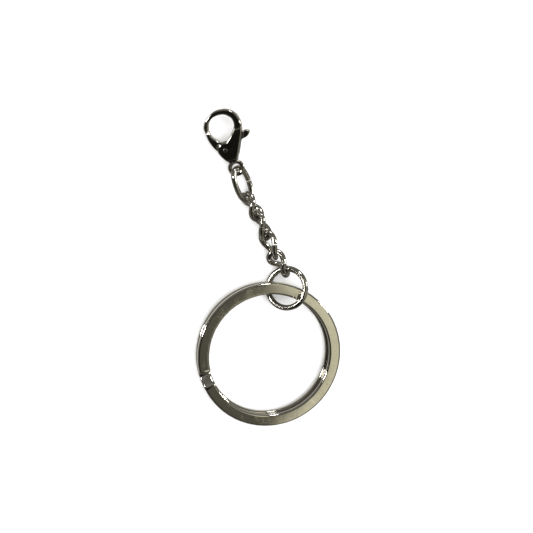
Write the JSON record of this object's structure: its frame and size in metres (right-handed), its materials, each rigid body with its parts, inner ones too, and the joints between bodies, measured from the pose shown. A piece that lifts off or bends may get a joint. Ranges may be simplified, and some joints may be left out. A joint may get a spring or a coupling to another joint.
{
  "type": "split key ring",
  "caption": "Two-turn split key ring with a jump ring, a short twisted curb chain and a spring-gated lobster clasp.",
  "frame": {"origin": "centre of the split ring, midway between its two turns", "axes": "+Y runs along the chain towards the clasp, +Z is square to the table the ring lies on, +X completes a right-handed frame"},
  "size_m": [0.0298, 0.0649, 0.006],
  "materials": {
    "ring_nickel": "polished nickel plate, faintly warm",
    "wire_nickel": "polished nickel plate",
    "chain_nickel": "polished nickel plate, rubbed",
    "clasp_nickel": "polished nickel plate over a casting",
    "lever_nickel": "polished nickel plate over a casting",
    "pin_steel": "riveted steel pin",
    "spring_steel": "drawn spring wire"
  },
  "bodies": {
    "ring": {"split_ring": "ring_nickel"},
    "jump": {"jump_ring": "wire_nickel"},
    "link_1": {"chain_link_1": "chain_nickel"},
    "link_2": {"chain_link_2": "chain_nickel"},
    "link_3": {"chain_link_3": "chain_nickel"},
    "link_4": {"chain_link_4": "chain_nickel"},
    "link_5": {"chain_link_5": "chain_nickel"},
    "clasp": {"clasp_body": "clasp_nickel", "clasp_pin": "pin_steel", "clasp_spring": "spring_steel"},
    "lever": {"clasp_lever": "lever_nickel"}
  },
  "joints": [
    {"name": "jump_ring_orbit", "type": "hinge", "parent": "ring", "child": "jump", "pos_m": [0, 0, 0], "axis": [0, -0.0419, 0.9991], "continuous": true},
    {"name": "chain_link_1_swing", "type": "hinge", "parent": "jump", "child": "link_1", "pos_m": [0.00345, 0.01724, -0.00049], "axis": [0.8329, 0.2172, 0.5091], "range_deg": [-25, 25]},
    {"name": "chain_link_2_swing", "type": "hinge", "parent": "link_1", "child": "link_2", "pos_m": [0.00173, 0.01975, -0.00021], "axis": [0, 0, 1], "range_deg": [-15, 20]},
    {"name": "chain_link_3_swing", "type": "hinge", "parent": "link_2", "child": "link_3", "pos_m": [0.00006, 0.02378, -0.00007], "axis": [0, 0, 1], "range_deg": [-12, 9]},
    {"name": "chain_link_4_swing", "type": "hinge", "parent": "link_3", "child": "link_4", "pos_m": [-0.00162, 0.0278, 0.00011], "axis": [0, 0, 1], "range_deg": [-12, 8]},
    {"name": "chain_link_5_swing", "type": "hinge", "parent": "link_4", "child": "link_5", "pos_m": [-0.00363, 0.03158, -0.00035], "axis": [0, 0, 1], "range_deg": [-8, 20]},
    {"name": "clasp_swing", "type": "hinge", "parent": "link_5", "child": "clasp", "pos_m": [-0.0061, 0.03805, 0.00012], "axis": [-0.321, -0.1181, 0.9397], "range_deg": [-45, 45]},
    {"name": "lever_press", "type": "hinge", "parent": "clasp", "child": "lever", "pos_m": [-0.00811, 0.04175, -0.0001], "axis": [0.321, 0.1181, -0.9397], "range_deg": [0, 28], "stiffness_Nm_per_rad": 0.002, "springref_deg": -11.46, "deforming": ["clasp_spring"]}
  ]
}
